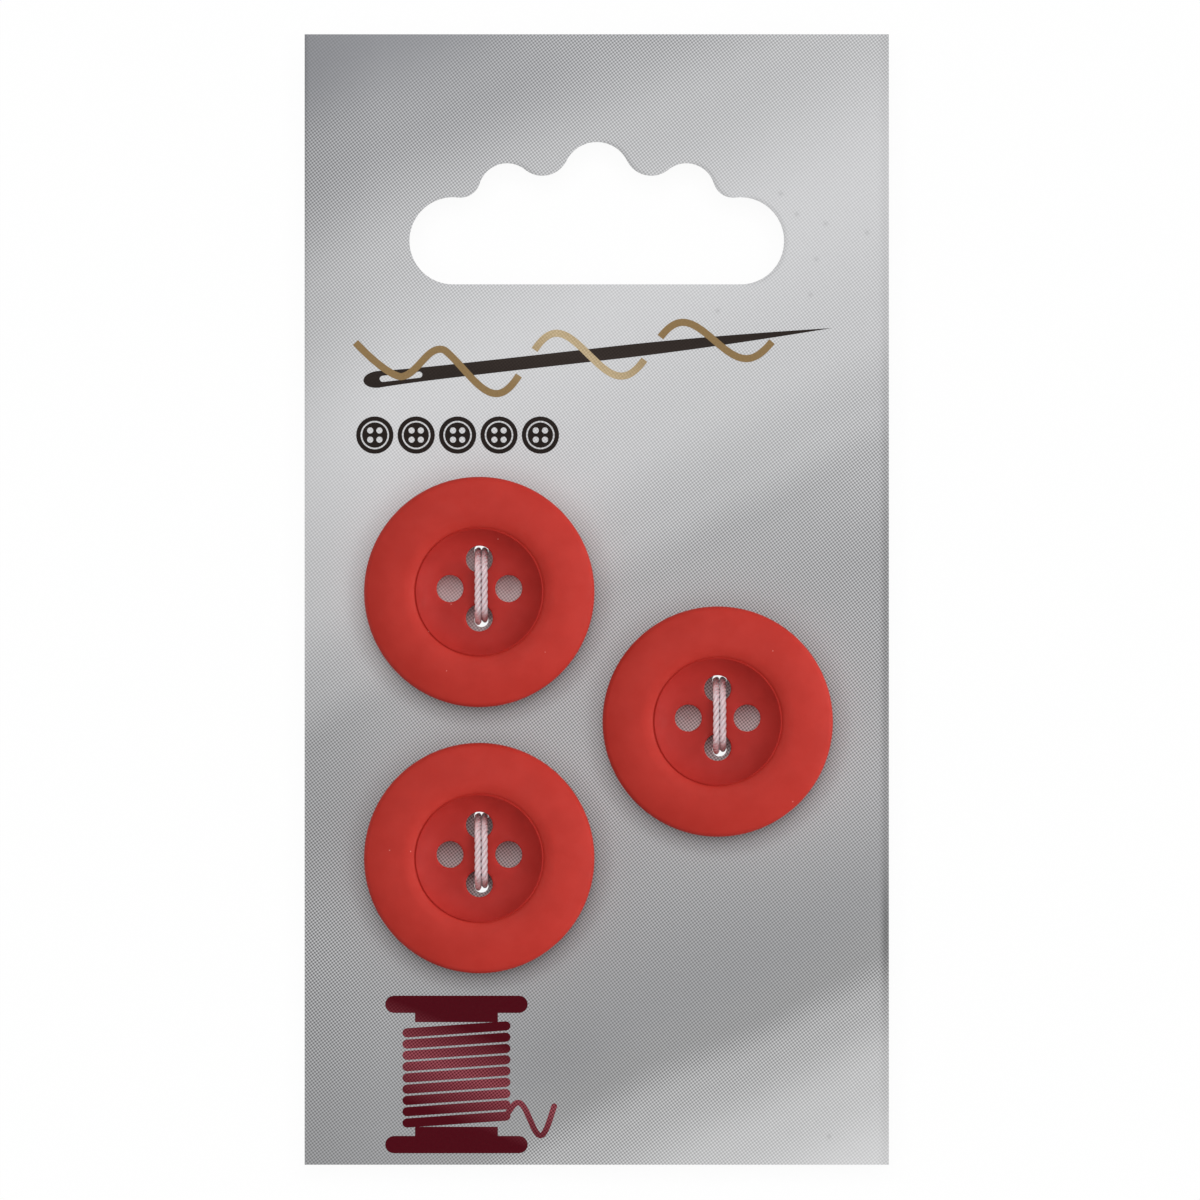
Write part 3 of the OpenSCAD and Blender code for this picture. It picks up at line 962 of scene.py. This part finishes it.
def stitchRoute():  # from the middle of the holes and the card's back, in millimetres
    lay, half = thread["across"] + thread["gap"], thread["across"] / 2
    strand, knotHalf, knotReach = lay / 2, thread["knotHalf"] * lay, thread["knotReach"] * lay
    runZ = -half - thread["gap"]
    knotZ = runZ - lay - knotHalf
    tailZ = knotZ - knotHalf
    slip, thick = thread["slip"], thread["cardThick"]
    ring = button["holeCircle"] / 2
    chord = math.sqrt((button["hole"] / 2) ** 2 - (strand + thread["stitchX"]) ** 2)
    brink = ring - chord
    top = ring + chord - half - thread["gap"]
    bottom = 2 * slip - top
    crossZ = thick + dishHeight(brink + button["holeRise"]) + half + thread["gap"]
    # half a bight of the knot: across, along and up, in shares of its size
    bend = [(0.5, 1, -0.85), (0.56, 0.5, 0.05), (1.12, 0, 0.92),
            (1.75, -0.42, 0.35), (1.38, -0.83, -0.6), (0, -1.06, -0.92)]

    def bight(side, way):
        shares = [(side * a, b, c) for a, b, c in bend] + [(-side * a, b, c) for a, b, c in bend[-2::-1]]
        return [(a * lay, slip + way * b * knotReach, knotZ + way * c * knotHalf) for a, b, c in shares]

    def overEdge(x, way, turns):
        bends = [polar(lay, turn) for turn in turns]
        return [(x, way * (brink + dy), crossZ - lay + dz) for dy, dz in bends]

    def slope(x, y, way):
        share, head = 0.45, (way * (brink + lay), crossZ - lay)
        return [(x, y + share * (head[0] - y), thick + share * (head[1] - thick))]

    def front(x, lean):
        head, foot = top + thread["upperLean"] * lay, bottom + lean * lay
        upper = [(x, head, thick)] + slope(x, head, 1) + overEdge(x, 1, (35, 90)) + [(x, 0, crossZ)]
        return upper + overEdge(x, -1, (90, 35)) + slope(x, foot, -1) + [(x, foot, thick)]

    # the runs between the stitches and the knot, point by point
    upperTail = [(-7 * lay, top + 4.4 * lay, tailZ), (-5 * lay, top + 3.6 * lay, tailZ),
                 (-3 * lay, top + 1.8 * lay, tailZ), (-1.5 * lay, top - 0.6 * lay, tailZ),
                 (-0.7 * lay, slip + 1.5 * knotReach, tailZ)]
    rise = [(0.5 * lay, slip + 1.45 * knotReach, knotZ - 0.6 * knotHalf),
            (strand, top - 0.8 * lay, runZ - 0.6 * lay), (strand, top - 0.05 * lay, 0)]
    behind = [(strand, bottom + 0.05 * lay, 0), (strand, bottom + 0.65 * lay, 0.96 * runZ),
              (strand, bottom + 1.7 * lay, runZ), (0.9 * strand, slip - 1.2 * lay, runZ),
              (-0.9 * strand, slip + 1.2 * lay, runZ), (-strand, top - 1.7 * lay, runZ),
              (-strand, top - 0.65 * lay, 0.96 * runZ), (-strand, top - 0.05 * lay, 0)]
    fall = [(-strand, bottom, 0), (-strand, bottom + 0.15 * lay, runZ - 0.4 * lay),
            (-0.2 * lay, bottom + 0.85 * lay, runZ - 1.15 * lay),
            (0.45 * lay, slip - 1.45 * knotReach, runZ - 1.15 * lay)]
    lowerTail = [(-0.8 * lay, slip - 1.4 * knotReach, knotZ + 0.5 * knotHalf),
                 (-2 * lay, bottom + 0.3 * lay, knotZ - 0.3 * knotHalf),
                 (-3.5 * lay, bottom - 1.4 * lay, tailZ), (-5.2 * lay, bottom - 2.8 * lay, tailZ),
                 (-7.2 * lay, bottom - 3.2 * lay, tailZ)]
    route = upperTail + bight(-1, 1) + rise + front(strand, thread["rightLean"]) + behind
    route += front(-strand, thread["leftLean"]) + fall + bight(1, -1) + lowerTail
    return [Vector(p) for p in route]


def smoothCurve(p, step):  # the same smooth curve through the points as the thread's solid follows
    q = [2 * p[0] - p[1], *p, 2 * p[-1] - p[-2]]
    curve = []
    for a, b, c, d in zip(q, q[1:], q[2:], q[3:]):
        ab, bc, cd = (math.sqrt(v.length) for v in (b - a, c - b, d - c))
        leave = (c - b) + bc * ((b - a) / ab - (c - a) / (ab + bc))
        reach = (c - b) + bc * ((d - c) / cd - (d - b) / (bc + cd))
        n = math.ceil((c - b).length / step)
        for i in range(n):
            t = i / n
            curve.append((2 * t ** 3 - 3 * t ** 2 + 1) * b + (t ** 3 - 2 * t ** 2 + t) * leave
                         + (3 * t ** 2 - 2 * t ** 3) * c + (t ** 3 - t ** 2) * reach)
    return curve + [p[-1]]


def carried(curve):  # direction of the curve and a side carried along it, at each point
    last = len(curve) - 1
    ways = [(curve[min(i + 1, last)] - curve[max(i - 1, 0)]).normalized() for i in range(last + 1)]
    side, sides = Vector((0, 0, -1)), []
    for way in ways:
        side = (side - side.dot(way) * way).normalized()
        sides.append(side)
    return ways, sides


def plySection(turn):  # reach of the three plies' outline at an angle
    third = 2 * math.pi / 3
    off = (turn + third / 2) % third - third / 2
    out, r = thread["plyOut"], thread["plyRadius"]
    return out * math.cos(off) + math.sqrt(r ** 2 - (out * math.sin(off)) ** 2)


def threadMesh(seed):
    dice = random.Random(seed)
    curve = smoothCurve(stitchRoute(), thread["step"])
    ways, sides = carried(curve)
    n = thread["sides"]
    section = [(2 * math.pi * j / n, plySection(2 * math.pi * j / n)) for j in range(n)]
    points, straight, faces = [], [], []
    along, runs = 0, []
    for i, p in enumerate(curve):
        along += (p - curve[i - 1]).length if i else 0
        runs.append(along)
        lean = 2 * math.pi * along / thread["layUp"]
        other = ways[i].cross(sides[i])
        for turn, r in section:
            points.append(p + r * (math.cos(turn + lean) * sides[i] + math.sin(turn + lean) * other))
            straight.append((along, r * math.cos(turn), r * math.sin(turn)))
    for i in range(len(curve) - 1):
        for j in range(n):
            k = (j + 1) % n
            faces.append((i * n + j, i * n + k, (i + 1) * n + k, (i + 1) * n + j))
    for i in (0, len(curve) - 1):
        points.append(curve[i])
        straight.append((runs[i], 0, 0))
        faces += [(i * n + j, i * n + (j + 1) % n, len(points) - 1) for j in range(n)]

    def addFibre(root, way, out, length):  # one loose fibre, thin at its tip
        first = len(points)
        across, curl = way.cross(out).normalized(), thread["fuzzCurl"]
        for reach, thin in thread["fuzzShape"]:
            spot = root + way * length * reach + out * length * (curl * reach ** 2)
            for j in range(3):
                a, b = polar(thread["fuzzRadius"] * thin, 120 * j)
                points.append(spot + a * out + b * across)
                straight.append((spot.y, a, b))
        points.append(root + way * length + out * length * curl)
        straight.append((0, 0, 0))
        faces.append((first, first + 1, first + 2))
        for k in (0, 3):
            for j in range(3):
                a, b = first + k + j, first + k + (j + 1) % 3
                faces.append((a, b, b + 3, a + 3))
        faces.extend((first + 6 + j, first + 6 + (j + 1) % 3, first + 9) for j in range(3))

    spots = []
    for i in range(thread["fuzz"]):
        spots.append((dice.randrange(len(curve)), dice.choice((-1, 1)), *thread["fuzzLength"]))
    for end in ((0, -1), (len(curve) - 1, 1)):
        spots += [(*end, *thread["endLength"])] * thread["ends"]
    for i, way, shortest, longest in spots:
        turn = dice.uniform(0, 2 * math.pi)
        out = math.cos(turn) * sides[i] + math.sin(turn) * ways[i].cross(sides[i])
        if out.z > thread["fuzzDown"]:
            root = curve[i] + out * thread["fuzzRoot"]
            addFibre(root, way * ways[i], out, dice.uniform(shortest, longest))
    for p in points:
        p.z = max(p.z, -cardBack)  # the thread is pressed flat where it lies on the floor
    return points, straight, faces


def threadMaterial():
    material, tree, shader = startMaterial("spunThread")
    straight = put(tree, "ShaderNodeAttribute", None, 1, attribute_name="straight")
    fibres = speckle(tree, stretch(tree, straight, *thread["fibreStretch"]), *thread["fibreNoise"])
    lumps = speckle(tree, straight, *thread["lumpNoise"])
    lumps = spread(tree, lumps, *thread["lumpEnds"], 0.0, thread["lumpShare"])
    # white thread tones with a painted pink tint of light bounced from the buttons
    skin = mix(tree, lumps, ramp(tree, fibres, thread["tones"]), thread["lumpTone"])
    # painted shade between the plies
    out, aside = split(tree, straight)[1:]
    reach = calc(tree, "SQRT", calc(tree, "MULTIPLY_ADD", out, out, calc(tree, "MULTIPLY", aside, aside)))
    deep, full = plySection(math.pi / 3), plySection(0)
    share = thread["grooveReach"]
    end = (1 - share) * deep + share * full
    paintedGrooveShade = spread(tree, reach, deep, end, thread["grooveShadeShare"], 0.0)
    skin = mix(tree, paintedGrooveShade, skin, thread["grooveShadeTone"])
    tree.links.new(skin, shader.inputs["Base Color"])
    tree.links.new(mottled(tree, fibres, thread["rough"]), shader.inputs["Roughness"])
    shader.inputs["Specular IOR Level"].default_value = thread["specular"]
    shader.inputs["Sheen Weight"].default_value = thread["sheen"]
    shader.inputs["Sheen Roughness"].default_value = thread["sheenRough"]
    setGlow(shader, thread)
    bump(tree, shader, fibres, *thread["bump"])
    return material


threadSkin = threadMaterial()
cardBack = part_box("card")[0].z / mm
for seed, name in enumerate(sewn):
    points, straight, faces = threadMesh(seed)
    origin = Vector((centre[name].x + thread["stitchX"], centre[name].y + button["holeRise"], cardBack))
    placed = [origin + p for p in points]
    piece = makePiece("sewing_thread_" + name, placed, faces, threadSkin, thread["sharp"])
    mark = piece.data.attributes.new("straight", "FLOAT_VECTOR", "POINT")
    mark.data.foreach_set("vector", [c for p in straight for c in p])
    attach(piece, "root")
    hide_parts("thread_" + name)
    otherPieces.append(piece)
shineOnly(buttonLamps, buttonPieces)
shineOnly(otherLamps, otherPieces)
print("threads tied")
